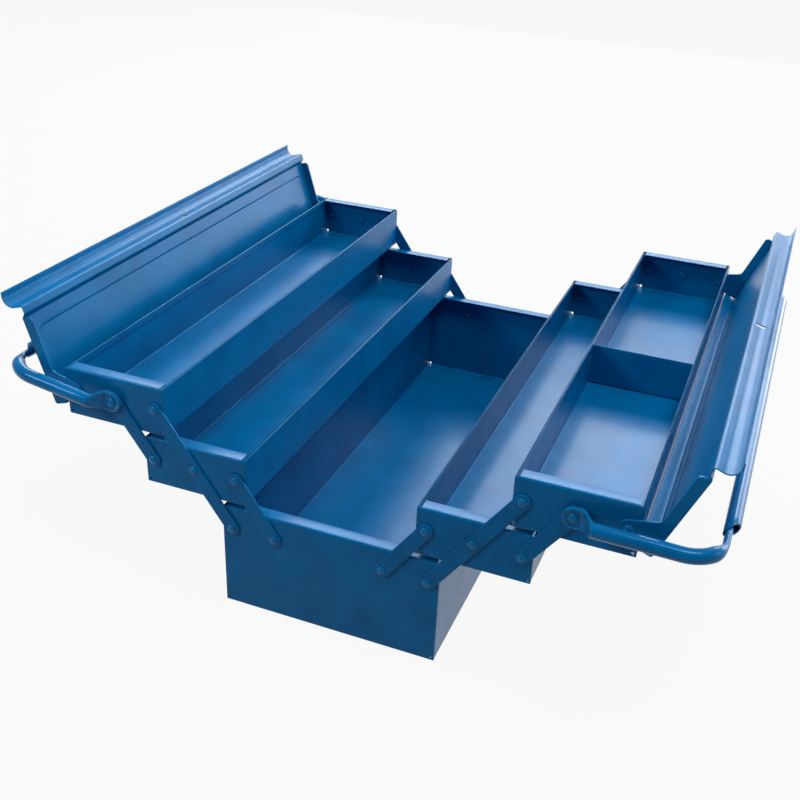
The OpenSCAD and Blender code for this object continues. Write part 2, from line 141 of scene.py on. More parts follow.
@dataclass
class Shape:
    """A mesh in the making: its points in mm, and its faces in blocks of like corner counts."""

    points: Array
    faces: list[Array]

    def moved(self, x: float = 0.0, y: float = 0.0, z: float = 0.0) -> Shape:
        """Returns the shape shifted by the given distances."""
        return Shape(self.points + np.array([x, y, z]), self.faces)

    def turned(self, degrees: float) -> Shape:
        """Returns the shape turned about the Y axis, from +Z towards +X.

        Args:
            degrees: Angle a of the turn.

        Returns:
            The turned shape, with x = x cos a + z sin a and z = z cos a - x sin a.
        """
        a = math.radians(degrees)
        x, y, z = self.points.T
        return Shape(
            np.stack([x * math.cos(a) + z * math.sin(a), y, z * math.cos(a) - x * math.sin(a)], 1),
            self.faces,
        )

    def placed(self, side: Side, end: End = End.FRONT) -> Shape:
        """Returns the shape mirrored from the right side and the front end to where it belongs.

        Args:
            side: Side of the case on which the piece lies.
            end: End of the case at which the piece lies.

        Returns:
            The mirrored shape, its faces turned round where the mirrors leave it inside out.
        """
        signs = np.array([side.value, -end.value, 1])
        flip = signs[0] * signs[1] < 0
        return Shape(self.points * signs, [f[:, ::-1] if flip else f for f in self.faces])

    @staticmethod
    def joined(shapes: Sequence[Shape]) -> Shape:
        """Returns several shapes as one, each shape's face numbers shifted past those before it."""
        starts = np.cumsum([0] + [len(s.points) for s in shapes])
        faces = [f + start for s, start in zip(shapes, starts) for f in s.faces]
        return Shape(np.concatenate([s.points for s in shapes]), faces)


def to_length(shape: Shape) -> Shape:
    """Stands a section drawn in (across, up) along the case: (u, v, w) becomes (u, -w, v)."""
    u, v, w = shape.points.T
    return Shape(np.stack([u, -w, v], 1), shape.faces)


def to_width(shape: Shape) -> Shape:
    """Lays a section drawn in (along, up) across the case: (u, v, w) becomes (w, u, v)."""
    u, v, w = shape.points.T
    return Shape(np.stack([w, u, v], 1), shape.faces)


def smooth_step(x: Array | float) -> Array:
    """Returns 0 below 0, 1 above 1, and 3x^2 - 2x^3 between them."""
    x = np.clip(x, 0, 1)
    return x * x * (3 - 2 * x)


def unit(vector: Array) -> Array:
    """Returns a vector's direction, as a vector of length 1."""
    return vector / np.linalg.norm(vector)


def unit_rows(rows: Array) -> Array:
    """Returns the direction of each row, as a row of length 1."""
    return rows / np.linalg.norm(rows, axis=1)[:, None]


def around(count: int) -> Array:
    """Returns the given number of angles, evenly spread over a full turn."""
    return np.arange(count) / count * 2 * math.pi


def on_circle(angles: Array, radius: float = 1.0) -> Array:
    """Returns the points (r cos t, r sin t) for angles t and a radius r."""
    return np.stack([np.cos(angles), np.sin(angles)], 1) * radius


def raised(rings: Array, w: Array) -> Array:
    """Returns rings of points (u, v) as one list, with each ring's w as third coordinate."""
    up = np.broadcast_to(w[:, None, None], rings.shape[:2] + (1,))
    return np.concatenate([rings, up], -1).reshape(-1, 3)


def ring_faces(rows: int, columns: int, closed: bool = False) -> Array:
    """Returns the quads between rings of points.

    Args:
        rows: Number of rings.
        columns: Number of points in each ring, which closes on itself.
        closed: Whether the last ring joins the first one.

    Returns:
        One row of four point numbers for each quad.
    """
    i = np.arange(rows if closed else rows - 1)[:, None]
    j = np.arange(columns)[None, :]
    a, b = i * columns, (i + 1) % rows * columns
    k = (j + 1) % columns
    return np.stack([a + j, a + k, b + k, b + j], -1).reshape(-1, 4)


def fold_path(corners: Array, radii: Sequence[float]) -> tuple[Array, Array]:
    """Returns the points and left-hand normals of a path of straight runs joined by arcs.

    Where the path turns by an angle a, its arc of radius r starts and ends r tan(a/2) away from
    the corner, and its normal turns evenly from that of one run to that of the next. A point on
    each run beside the arc keeps the run's shading flat. A corner without a turn is one point.

    Args:
        corners: Corners of the path in order, in mm.
        radii: Radius of the arc at each corner between the first and the last one.

    Returns:
        The points along the path, and the unit normal on the path's left at each of them.
    """
    ways = unit_rows(np.diff(corners, axis=0))
    lefts = np.stack([-ways[:, 1], ways[:, 0]], 1)
    points, normals = [corners[:1]], [lefts[:1]]
    for i, radius in enumerate(radii):
        corner, d1, d2, n1, n2 = corners[i + 1], ways[i], ways[i + 1], lefts[i], lefts[i + 1]
        turn = math.atan2(d1[0] * d2[1] - d1[1] * d2[0], d1 @ d2)
        if abs(turn) < 1e-6:
            points.append(corner[None])
            normals.append(n1[None])
            continue
        hand = math.copysign(1, turn)
        start = corner - d1 * radius * math.tan(abs(turn) / 2)
        angles = np.linspace(0, turn, max(2, math.ceil(math.degrees(abs(turn)) / BEND_STEP)) + 1)
        left = np.outer(np.cos(angles), n1) - np.outer(np.sin(angles), d1)
        arc = start + (n1 - left) * radius * hand
        points += [(arc[0] - d1 * FLAT_ROW)[None], arc, (arc[-1] + d2 * FLAT_ROW)[None]]
        normals += [n1[None], left, n2[None]]
    points.append(corners[-1:])
    normals.append(lefts[-1:])
    return np.concatenate(points), np.concatenate(normals)


def sheared_end(corner: Array, across: Array, along: Array, thick: float) -> tuple[Array, Array]:
    """Returns the low half ellipse that closes a sheet's section at its sheared end.

    At an angle b from 0 to pi, a point lies at the end's middle - cos b (thick/2) across
    + sin b (thick/4) along.

    Args:
        corner: Corner of the section from which the end starts.
        across: Unit vector from that corner to the other one.
        along: Unit vector out of the sheet's end.
        thick: Thickness of the sheet.

    Returns:
        The points of the end, and their unit normals.
    """
    b = (np.arange(SHEAR_POINTS) + 0.5) / SHEAR_POINTS * math.pi
    flat, bulge = np.outer(-np.cos(b), across), np.outer(np.sin(b), along)
    points = corner + across * thick / 2 + flat * thick / 2 + bulge * thick / 4
    return points, unit_rows(flat / 2 + bulge)


def sheet_ring(
    corners: Sequence[Sequence[float]], radii: Sequence[float], thick: float
) -> tuple[Array, Array]:
    """Returns the outline of a folded sheet's section, with the sheet on the path's left.

    The outline runs along the path, round the sheet's end, back along the path shifted by the
    thickness, and round its start.

    Args:
        corners: Corners of the sheet's reference face.
        radii: Radius of that face at each fold.
        thick: Thickness of the sheet.

    Returns:
        The outline's points, and their unit normals, which point out of the sheet.
    """
    path, lefts = fold_path(np.asarray(corners, float), radii)
    back, ahead = unit(path[0] - path[1]), unit(path[-1] - path[-2])
    path[0] -= back * thick / 4
    path[-1] -= ahead * thick / 4
    end, end_normals = sheared_end(path[-1], lefts[-1], ahead, thick)
    start, start_normals = sheared_end(path[0] + lefts[0] * thick, -lefts[0], back, thick)
    inner = (path + lefts * thick)[::-1]
    ring = np.concatenate([path, end, inner, start])
    return ring, np.concatenate([-lefts, end_normals, lefts[::-1], start_normals])


def sweep_sheet(
    corners: Sequence[Sequence[float]],
    radii: Sequence[float],
    thick: float,
    lines: Sequence[float],
    edge: float,
) -> Shape:
    """Sweeps a folded sheet's section along W, with rounded edges at both ends.

    Each ring is the section shifted along W. Towards an end the rings shrink along their normals
    by edge (1 - cos t) while they move by edge (1 - sin t). The end itself is a strip of quads
    between the two faces of the sheet.

    Args:
        corners: Corners of the section's reference face in (u, v), with the sheet on its left.
        radii: Radius of that face at each fold.
        thick: Thickness of the sheet.
        lines: Places of the rings along w, the first and last of them at the ends.
        edge: Radius of the rounded edges.

    Returns:
        The closed solid of the sheet.
    """
    ring, normals = sheet_ring(corners, radii, thick)
    near, inset = np.array([0, QUARTER, 1]) * edge, np.array([1, QUARTER, 0]) * edge
    w = np.concatenate(
        [lines[0] + near, [lines[0] + edge + FLAT_ROW], lines[1:-1]]
        + [[lines[-1] - edge - FLAT_ROW], lines[-1] - near[::-1]]
    )
    shrink = np.concatenate([inset, np.zeros(len(w) - 6), inset[::-1]])
    flat = ring[None] - shrink[:, None, None] * normals[None]
    count = len(ring)
    half = count // 2 - SHEAR_POINTS
    j = np.arange(-SHEAR_POINTS // 2, half - 1 + SHEAR_POINTS // 2)
    facing = 2 * half + SHEAR_POINTS - 1 - j
    strip = np.stack([j, j + 1, facing - 1, facing], 1) % count
    faces = [ring_faces(len(w), count), strip[:, ::-1], strip + (len(w) - 1) * count]
    return Shape(raised(flat, w), faces)


def plate(outline: Array, thick: float, edge: float) -> Shape:
    """Returns a flat plate with rounded edges, standing on w = 0.

    Each point of the outline moves in along the mean of its two sides' normals, lengthened so
    that both sides move by the same distance. The rings follow a quarter circle at each face.

    Args:
        outline: Points of the outline in (u, v), counterclockwise.
        thick: Thickness of the plate along w.
        edge: Radius of the rounded edges.

    Returns:
        The closed solid of the plate.
    """
    ways = np.roll(outline, -1, 0) - outline
    out = unit_rows(np.stack([ways[:, 1], -ways[:, 0]], 1))
    before = np.roll(out, 1, 0)
    mean = (out + before) / (1 + np.sum(out * before, 1))[:, None]
    rise = np.array([0, 0, QUARTER, 1]) * edge
    inset = np.array([edge + FLAT_ROW, edge, QUARTER * edge, 0])
    w = np.concatenate([rise, thick - rise[::-1]])
    shrink = np.concatenate([inset, inset[::-1]])
    flat = outline[None] - shrink[:, None, None] * mean[None]
    count = len(outline)
    first = np.arange(count)[None]
    faces = [ring_faces(len(w), count), first[:, ::-1], first + (len(w) - 1) * count]
    return Shape(raised(flat, w), faces)


def lathe(profile: Array, sides: int, closed: bool = False) -> Shape:
    """Turns a profile round the W axis: a point (r, w) becomes (r cos t, r sin t, w).

    Args:
        profile: Points (r, w), going up along w on the outside. An open profile starts and ends
            on the axis.
        sides: Number of points round the axis.
        closed: Whether the profile is a closed loop that stays off the axis.

    Returns:
        The closed solid of revolution.
    """
    rows = profile if closed else profile[1:-1]
    points = raised(rows[:, 0, None, None] * on_circle(around(sides)), rows[:, 1])
    faces = [ring_faces(len(rows), sides, closed)]
    if closed:
        return Shape(points, faces)
    poles = np.array([[0, 0, profile[0, 1]], [0, 0, profile[-1, 1]]])
    return Shape(np.concatenate([points, poles]), faces + pole_faces(len(rows), sides))


def pole_faces(rows: int, columns: int) -> list[Array]:
    """Returns the fans that close the first and last ring onto two poles after the rings' points."""
    j = np.arange(columns)
    k = (j + 1) % columns
    first, last = rows * columns, (rows - 1) * columns
    return [
        np.stack([np.full(columns, first), k, j], 1),
        np.stack([np.full(columns, first + 1), last + j, last + k], 1),
    ]


def block(low: Sequence[float], high: Sequence[float]) -> Shape:
    """Returns a box between two corners."""
    picks = np.array([[i & 1, i >> 1 & 1, i >> 2] for i in range(8)])
    points = np.where(picks, np.asarray(high, float), np.asarray(low, float))
    quads = np.array(
        [[0, 2, 3, 1], [4, 5, 7, 6], [0, 1, 5, 4], [2, 6, 7, 3], [0, 4, 6, 2], [1, 3, 7, 5]]
    )
    return Shape(points, [quads])


def drill(x: float, z: float, diameter: float, y: float, length: float = DRILL_L) -> Shape:
    """Returns a cylinder that cuts a round hole along Y, centred on (x, y, z)."""
    profile = np.array([[0, -1], [diameter / length, -1], [diameter / length, 1], [0, 1]])
    return to_length(lathe(profile * length / 2, HOLE_SIDES)).moved(x, y, z)


def linear(hex_colour: str) -> tuple[float, float, float, float]:
    """Turns an sRGB hex colour into linear RGBA, which is what Blender's sockets take."""
    values = np.array([int(hex_colour[i : i + 2], 16) for i in (1, 3, 5)]) / 255
    low, high = values / 12.92, ((values + 0.055) / 1.055) ** 2.4
    return (*np.where(values <= 0.04045, low, high).tolist(), 1.0)


def add_object(name: str, data: bpy.types.ID) -> bpy.types.Object:
    """Adds an object with the given data to the scene."""
    thing = bpy.data.objects.new(name, data)
    bpy.context.scene.collection.objects.link(thing)
    return thing


def facing(right: Array, up: Array, back: Array, at: Sequence[float]) -> Matrix:
    """Returns the place of a camera or light from its axes. It looks away from back."""
    return Matrix(np.stack([right, up, back, at], 1).tolist() + [[0, 0, 0, 1]])


def emptied(owner: bpy.types.Material | bpy.types.World) -> bpy.types.NodeTree:
    """Returns the node tree of a material or a world, emptied of its first nodes."""
    owner.use_nodes = True
    owner.node_tree.nodes.clear()
    return owner.node_tree


def add_node(
    tree: bpy.types.NodeTree,
    kind: str,
    values: dict[str | int, Any] | None = None,
    links: dict[str | int, bpy.types.NodeSocket] | None = None,
    **settings: Any,
) -> bpy.types.Node:
    """Adds one node to a tree.

    Args:
        tree: Node tree that gets the node.
        kind: Blender's name for the kind of node.
        values: Constant values by the name or number of the input.
        links: Sockets by the name or number of the input that they feed.
        **settings: Properties of the node itself.

    Returns:
        The new node.
    """
    node = tree.nodes.new(kind)
    for name, value in settings.items():
        setattr(node, name, value)
    for name, value in (values or {}).items():
        node.inputs[name].default_value = value
    for name, socket in (links or {}).items():
        tree.links.new(socket, node.inputs[name])
    return node


def per_metre(size_mm: float) -> float:
    """Returns the scale of a pattern whose features measure the given number of millimetres."""
    return 1 / (size_mm * MM)


@dataclass(frozen=True)
class Enamel:
    """Stoved gloss enamel, sprayed on steel: a glassy film whose orange peel breaks up highlights.

    The film pools and thins a little, which shifts its blue, and the thin sheet under it is never
    quite flat, which bends the reflections.
    """

    name: str
    colour: str
    deep_colour: str
    roughness: float = 0.30
    # Share of a glass film's mirror gloss that the paint keeps at a right angle
    gloss: float = 0.22
    # Colour that the pigment gives to reflections seen square on
    gloss_tint: str = "#3A8FD8"
    coat: float = 0.06
    coat_roughness: float = 0.12
    ior: float = 1.5
    # Width of the patches in which the film pools, and the noise between which its blue deepens
    pool_mm: float = 38.0
    pool: tuple[float, float] = (0.35, 0.68)
    # Width of the patches in which the gloss varies, and how far the roughness does
    haze_mm: float = 17.0
    haze: tuple[float, float] = (-0.05, 0.07)
    # Width of the orange peel's bumps and the height of the film's relief
    peel_mm: float = 1.7
    peel_height_mm: float = 0.045
    # Width and height of the sheet's own waviness
    wave_mm: float = 70.0
    wave_height_mm: float = 0.12

    def material(self) -> bpy.types.Material:
        """Builds the material.

        Returns:
            A material whose patterns read Object coordinates.
        """
        material = bpy.data.materials.new(self.name)
        tree = emptied(material)
        place = add_node(tree, "ShaderNodeTexCoord").outputs["Object"]

        def noise(size_mm: float, detail: float) -> bpy.types.NodeSocket:
            """Adds a noise with features of the given size and returns its value."""
            values = {"Scale": per_metre(size_mm), "Detail": detail, "Roughness": 0.5}
            return add_node(tree, "ShaderNodeTexNoise", values, {"Vector": place}).outputs["Fac"]

        pool = add_node(
            tree, "ShaderNodeMapRange", {"From Min": self.pool[0], "From Max": self.pool[1]},
            {"Value": noise(self.pool_mm, 3.0)},
        )
        blue = add_node(
            tree, "ShaderNodeMix", {6: linear(self.colour), 7: linear(self.deep_colour)},
            {"Factor": pool.outputs["Result"]}, data_type="RGBA",
        )
        low, high = (self.roughness + change for change in self.haze)
        haze = add_node(
            tree, "ShaderNodeMapRange", {"To Min": low, "To Max": high},
            {"Value": noise(self.haze_mm, 4.0)},
        )
        wave = add_node(
            tree, "ShaderNodeBump", {"Strength": 1.0, "Distance": self.wave_height_mm * MM},
            {"Height": noise(self.wave_mm, 1.0)},
        )
        peel = add_node(
            tree, "ShaderNodeBump", {"Strength": 1.0, "Distance": self.peel_height_mm * MM},
            {"Height": noise(self.peel_mm, 2.0), "Normal": wave.outputs["Normal"]},
        )
        shader = add_node(
            tree,
            "ShaderNodeBsdfPrincipled",
            {
                "IOR": self.ior,
                "Specular IOR Level": self.gloss,
                "Specular Tint": linear(self.gloss_tint),
                "Coat Weight": self.coat,
                "Coat Roughness": self.coat_roughness,
                "Coat IOR": self.ior,
            },
            {
                "Base Color": blue.outputs[2],
                "Roughness": haze.outputs["Result"],
                "Normal": peel.outputs["Normal"],
            },
        )
        add_node(tree, "ShaderNodeOutputMaterial", links={"Surface": shader.outputs["BSDF"]})
        return material


@dataclass(frozen=True)
class Sizes:
    """Sizes of the case's stock, folds and fits, in mm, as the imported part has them."""

    sheet: float = 0.96
    # Outer radius of the folds along the floor, and of the fold at an end panel's rim
    floor_r: float = 1.9
    rim_r: float = 1.7
    hem_h: float = 7.0
    # Air between the two layers of a hem, and half of the flat left between its two folds
    hem_air: float = 0.08
    hem_flat: float = 0.005
    # Distance of the shells' sheared ends from the end panels' outer faces
    shell_in: float = 1.02
    rim_flange: float = 12.0
    foot_flange: float = 9.0
    flange_notch: float = 3.5
    notch_h: float = 4.0
    relief_d: float = 3.0
    relief_in: float = 2.9
    foot_in: float = 5.8
    # How far a foot flange runs into its panel, and how much thinner than the sheet it is drawn
    foot_tuck: float = 0.1
    foot_play: float = 0.02
    edge_r: float = 0.2
    link_w: float = 13.0
    link_t: float = 2.0
    link_gap: float = 0.2
    rivet_d: float = 5.0
    head_d: float = 8.5
    head_h: float = 2.2
    washer_d: float = 11.0
    washer_t: float = 0.8
    washer_edge: float = 0.15
    # Gap under a washer, and again under the rolled end on it
    seat_play: float = 0.01
    hole_d: float = 5.1
    head_out: float = 2.3
    handle_head_out: float = 5.5

    @property
    def hem(self) -> float:
        """Thickness of a hem."""
        return 2 * self.sheet + self.hem_air

    @property
    def hem_r(self) -> float:
        """Radius of each of the two folds that turn a hem over."""
        return self.hem / 2 - self.hem_flat


SIZES = Sizes()


@dataclass(frozen=True)
class Box:
    """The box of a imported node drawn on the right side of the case, in mm."""

    low: Array
    high: Array

    @staticmethod
    def of(node: str, side: Side = Side.RIGHT) -> Box:
        """Reads the box of a node, mirrored to the right side where the node is on the left."""
        low, high = (np.array(corner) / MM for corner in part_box(node))
        if side is Side.LEFT:
            low[0], high[0] = -high[0], -low[0]
        return Box(low, high)

    def span(self, axis: int) -> tuple[float, float]:
        """Returns where the box starts and ends along X, Y or Z, which are 0, 1 and 2."""
        return self.low[axis], self.high[axis]

    def notches(self, width: float, y: tuple[float, float], z: tuple[float, float]) -> list[Shape]:
        """Returns the blocks that cut a notch into each side of what lies in the box.

        Args:
            width: How far the notches reach in along X.
            y: Where they start and end along Y.
            z: Where they start and end along Z.

        Returns:
            The two blocks, which run past the box along X.
        """
        x0, x1 = self.span(0)
        across = ((x0 - PAST, x0 + width), (x1 - width, x1 + PAST))
        return [block((start, y[0], z[0]), (stop, y[1], z[1])) for start, stop in across]


@dataclass(frozen=True)
class Linkage:
    """Pivots of the links, the lid and the handle on the right side, as (x, z) in mm."""

    base_outer: tuple[float, float]
    base_inner: tuple[float, float]
    mid_middle: tuple[float, float]
    mid_outer: tuple[float, float]
    mid_inner: tuple[float, float]
    top_inner: tuple[float, float]
    handle: tuple[float, float]
    lid: tuple[float, float]

    @staticmethod
    def of(joints: Sequence[dict[str, Any]]) -> Linkage:
        """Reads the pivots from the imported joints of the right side.

        Args:
            joints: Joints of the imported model.

        Returns:
            The pivots. The middle tray's inner pivot has no joint of its own, because the
            linkage is opened there, and lies as far in as the outer one lies out.
        """
        at = {j["name"]: (j["pos_m"][0] / MM, j["pos_m"][2] / MM) for j in joints}
        middle, outer = at["mid_tray_turn_right"], at["upper_link_turn_right"]
        return Linkage(
            base_outer=at["fold_right"],
            base_inner=at["lower_link_turn_right"],
            mid_middle=middle,
            mid_outer=outer,
            mid_inner=(2 * middle[0] - outer[0], middle[1]),
            top_inner=at["top_tray_turn_right"],
            handle=at["handle_right_hinge"],
            lid=at["lid_right_hinge"],
        )


@dataclass
class Workshop:
    """Turns shapes into finished pieces of the case."""

    materials: dict[Slot, bpy.types.Material]

    def finish(
        self, node: str, body: str, slot: Slot, shape: Shape, cuts: Sequence[Shape] = ()
    ) -> bpy.types.Object:
        """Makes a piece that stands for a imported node, and hands it to the node's body.

        Args:
            node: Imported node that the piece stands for.
            body: Body on which the piece rides.
            slot: Material slot of the piece.
            shape: The piece's shape, in place, in mm.
            cuts: Solids that are cut out of it.

        Returns:
            The finished piece.
        """
        piece = self.mesh_object(f"{node}_painted", shape)
        if cuts:
            self.punch(piece, Shape.joined(cuts))
        mesh = piece.data
        mesh.polygons.foreach_set("use_smooth", np.ones(len(mesh.polygons), bool))
        mesh.set_sharp_from_angle(angle=math.radians(SHARP_ANGLE))
        mesh.materials.clear()
        mesh.materials.append(self.materials[slot])
        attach(piece, body)
        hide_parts(node)
        LOG.info("%s: %d faces, on %s", piece.name, len(mesh.polygons), body)
        return piece

    def finish_ends(
        self, node: str, body: str, slot: Slot, side: Side, shape: Shape, cuts: Sequence[Shape]
    ) -> None:
        """Makes the front and the back piece of a pair.

        Args:
            node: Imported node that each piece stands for, with {} in the place of its end.
            body: Body on which the pieces ride.
            slot: Material slot of the pieces.
            side: Side of the case on which they lie.
            shape: The front piece's shape on the right side, in mm.
            cuts: Solids that are cut out of it.
        """
        for end in End:
            tools = [cut.placed(side, end) for cut in cuts]
            self.finish(node.format(end.tag), body, slot, shape.placed(side, end), tools)

    @staticmethod
    def mesh_object(name: str, shape: Shape) -> bpy.types.Object:
        """Writes a shape into a new mesh object at the origin.

        Args:
            name: Name of the object.
            shape: Shape in mm.

        Returns:
            The object, its mesh in metres.
        """
        mesh = bpy.data.meshes.new(name)
        faces = [face for part in shape.faces for face in part.tolist()]
        mesh.from_pydata((shape.points * MM).tolist(), [], faces)
        mesh.update()
        return add_object(name, mesh)

    def punch(self, piece: bpy.types.Object, cutter: Shape) -> None:
        """Cuts a shape out of a piece and writes the result into its mesh."""
        tool = self.mesh_object("cutter", cutter)
        cut = piece.modifiers.new("punch", "BOOLEAN")
        cut.operation, cut.solver, cut.object = "DIFFERENCE", "EXACT", tool
        cut.use_self = True
        solid = piece.evaluated_get(bpy.context.evaluated_depsgraph_get())
        result = bpy.data.meshes.new_from_object(solid)
        piece.modifiers.remove(cut)
        before, piece.data = piece.data, result
        result.name = piece.name
        bpy.data.meshes.remove(before)
        bpy.data.meshes.remove(tool.data)


@dataclass
class Tray:
    """One tray: a folded floor and walls, two end panels, rivets and washers."""

    name: str
    body: str
    side: Side
    box: Box
    # Distance of every end panel's outer face from the middle of the case
    end_y: float
    pivots: list[tuple[float, float]]
    # How far out each pivot's rivet head sits from the end panel
    heads: list[float]

    def node(self, part: str) -> str:
        """Returns the name of the node of one part of this tray."""
        side = "" if self.name == "base" else f"_{self.side.tag}"
        return f"{self.name}_{part}{side}"

    def shell(self) -> Shape:
        """Draws the floor and the two hemmed long walls.

        Returns:
            The sheet swept along the case. Its section goes up one hem's inner face, over the
            hem, down the wall, under the floor and the same way up the other wall.
        """
        s = SIZES
        (x0, x1), (z0, z1) = self.box.span(0), self.box.span(2)
        corners = [
            (x0 + s.hem, z1 - s.hem_h), (x0 + s.hem, z1), (x0, z1), (x0, z0),
            (x1, z0), (x1, z1), (x1 - s.hem, z1), (x1 - s.hem, z1 - s.hem_h),
        ]
        radii = [s.hem_r, s.hem_r, s.floor_r, s.floor_r, s.hem_r, s.hem_r]
        half = self.end_y - s.shell_in
        return to_length(sweep_sheet(corners, radii, s.sheet, (-half, half), s.edge_r))

    def end_panel(self) -> tuple[Shape, list[Shape], Shape]:
        """Draws the front end panel.

        Returns:
            The panel with its rim flange, the solids cut out of it (notches beside the flange,
            relief holes and rivet holes), and the foot flange that lies on the floor.
        """
        s = SIZES
        (x0, x1), (z0, z1) = self.box.span(0), self.box.span(2)
        y = -self.end_y
        corners = [(y + s.rim_flange, z1), (y, z1), (y, z0)]
        panel = to_width(sweep_sheet(corners, [s.rim_r], s.sheet, (x0, x1), s.edge_r))
        foot_z = z0 + 2 * s.sheet
        corners = [(y + s.foot_flange, foot_z), (y + s.sheet - s.foot_tuck, foot_z)]
        across = (x0 + s.foot_in, x1 - s.foot_in)
        foot = to_width(sweep_sheet(corners, [], s.sheet - s.foot_play, across, s.edge_r))
        cuts = [drill(x, z, s.hole_d, y) for x, z in self.pivots]
        reliefs = (x0 + s.relief_in, x1 - s.relief_in)
        cuts += [drill(x, z0 + s.relief_in, s.relief_d, y) for x in reliefs]
        cuts += self.box.notches(
            s.flange_notch, (y + s.sheet, y + s.rim_flange + PAST), (z1 - s.notch_h, z1 + PAST)
        )
        return panel, cuts, foot

    def rivet(self, head_out: float) -> Shape:
        """Draws one rivet along W, outwards from the end panel's outer face.

        The head is a cap of a sphere with a rounded rim. The other end is rolled over the washer
        into a low ring round a hollow.

        Args:
            head_out: Distance of the head's seat from the end panel's outer face.

        Returns:
            The solid of revolution.
        """
        s = SIZES
        inside = -(s.sheet + s.washer_t + 2 * s.seat_play)
        ball = (s.head_d**2 / 4 + s.head_h**2) / (2 * s.head_h)
        # The dome starts a little way up, where the rounded rim meets it
        t = np.linspace(math.asin(s.head_d / 2 / ball) - 0.05, 0, 9)
        profile = np.concatenate([
            np.array([0, inside]) + ROLLED_END * (1, -1),
            [[s.rivet_d / 2, inside], [s.rivet_d / 2, head_out]],
            np.array([s.head_d / 2, head_out]) + HEAD_RIM * (-1, 1),
            np.stack([ball * np.sin(t), head_out + s.head_h - ball + ball * np.cos(t)], 1),
        ])
        return lathe(profile, TURNED_SIDES)

    def washer(self) -> Shape:
        """Draws one washer along W, on the end panel's inner face."""
        s = SIZES
        r0, r1, e = s.hole_d / 2, s.washer_d / 2, s.washer_edge
        w1 = -s.sheet - s.seat_play
        w0 = w1 - s.washer_t
        profile = np.array([
            (r0, w0 + e), (r0 + e, w0), (r1 - e, w0), (r1, w0 + e),
            (r1, w1 - e), (r1 - e, w1), (r0 + e, w1), (r0, w1 - e),
        ])
        return lathe(profile, TURNED_SIDES, closed=True)

    def build(self, shop: Workshop) -> None:
        """Builds the tray's pieces."""
        shop.finish(self.node("shell"), self.body, Slot.TRAYS, self.shell().placed(self.side))
        panel, cuts, foot = self.end_panel()
        ends = Shape.joined([panel, foot])
        shop.finish_ends(self.node("end_{}"), self.body, Slot.TRAYS, self.side, ends, cuts)
        rivets, washers = [], []
        for (x, z), head_out in zip(self.pivots, self.heads):
            for end in End:
                at = {"x": x, "y": -self.end_y, "z": z}
                rivets.append(to_length(self.rivet(head_out)).moved(**at).placed(self.side, end))
                washers.append(to_length(self.washer()).moved(**at).placed(self.side, end))
        shop.finish(self.node("rivets"), self.body, Slot.RIVETS, Shape.joined(rivets))
        shop.finish(self.node("washers"), self.body, Slot.RIVETS, Shape.joined(washers))


@dataclass
class Divider:
    """The cross divider of the right top tray."""

    box: Box
    body: str = "top_tray_right"
    fold_r: float = 1.8
    # Gap beside each wall, and how far the divider's top lies below the tray's rim
    wall_gap: float = 0.05
    drop: float = 4.0
    notch_w: float = 1.1
    notch_y: float = 3.0

    def build(self, shop: Workshop) -> None:
        """Builds the upright plate with its foot, notched for the walls' hems."""
        s = SIZES
        (x0, x1), (y0, y1), (z0, z1) = (self.box.span(axis) for axis in range(3))
        corners = [(y0, z1), (y0, z0), (y1, z0)]
        across = (x0 + self.wall_gap, x1 - self.wall_gap)
        sheet = to_width(sweep_sheet(corners, [self.fold_r], s.sheet, across, s.edge_r))
        notches = self.box.notches(
            self.notch_w, (y0 - PAST, y0 + self.notch_y), (z1 + self.drop - s.hem_h, z1 + PAST)
        )
        shop.finish("divider_right", self.body, Slot.TRAYS, sheet, notches)


@dataclass
class LinkBars:
    """The flat link bars at both ends of one side."""

    side: Side
    pivots: Linkage
    end_y: float
    edge: float = 0.45

    def bar(self, holes: Sequence[tuple[float, float]]) -> tuple[Shape, list[Shape]]:
        """Draws a bar with round ends through two or three pivots in line.

        The outline is a stadium: half circles of half the bar's width round its first and last
        pivot. It is drawn level and then turned to the line through the pivots.

        Args:
            holes: Pivots in order, as (x, z).

        Returns:
            The bar, and the drills for its holes.
        """
        s = SIZES
        first, last = np.array(holes[0]), np.array(holes[-1])
        run, r = float(np.linalg.norm(last - first)), s.link_w / 2
        arc = on_circle(np.linspace(-math.pi / 2, math.pi / 2, 15), r)
        flat = plate(np.concatenate([arc + (run, 0), -arc]), s.link_t, self.edge)
        tilt = -math.degrees(math.atan2(last[1] - first[1], last[0] - first[0]))
        y = -self.end_y - s.link_gap
        bar = to_length(flat).turned(tilt).moved(first[0], y, first[1])
        return bar, [drill(x, z, s.hole_d, y - s.link_t / 2) for x, z in holes]

    def build(self, shop: Workshop) -> None:
        """Builds the long, lower and upper links of this side, front and back."""
        p, tag = self.pivots, self.side.tag
        bars = {
            "long": [p.base_outer, p.mid_middle, p.top_inner],
            "lower": [p.base_inner, p.mid_inner],
            "upper": [p.mid_outer, p.handle],
        }
        for name, holes in bars.items():
            node, body = f"{name}_link_{{}}_{tag}", f"{name}_links_{tag}"
            shop.finish_ends(node, body, Slot.LINKS, self.side, *self.bar(holes))


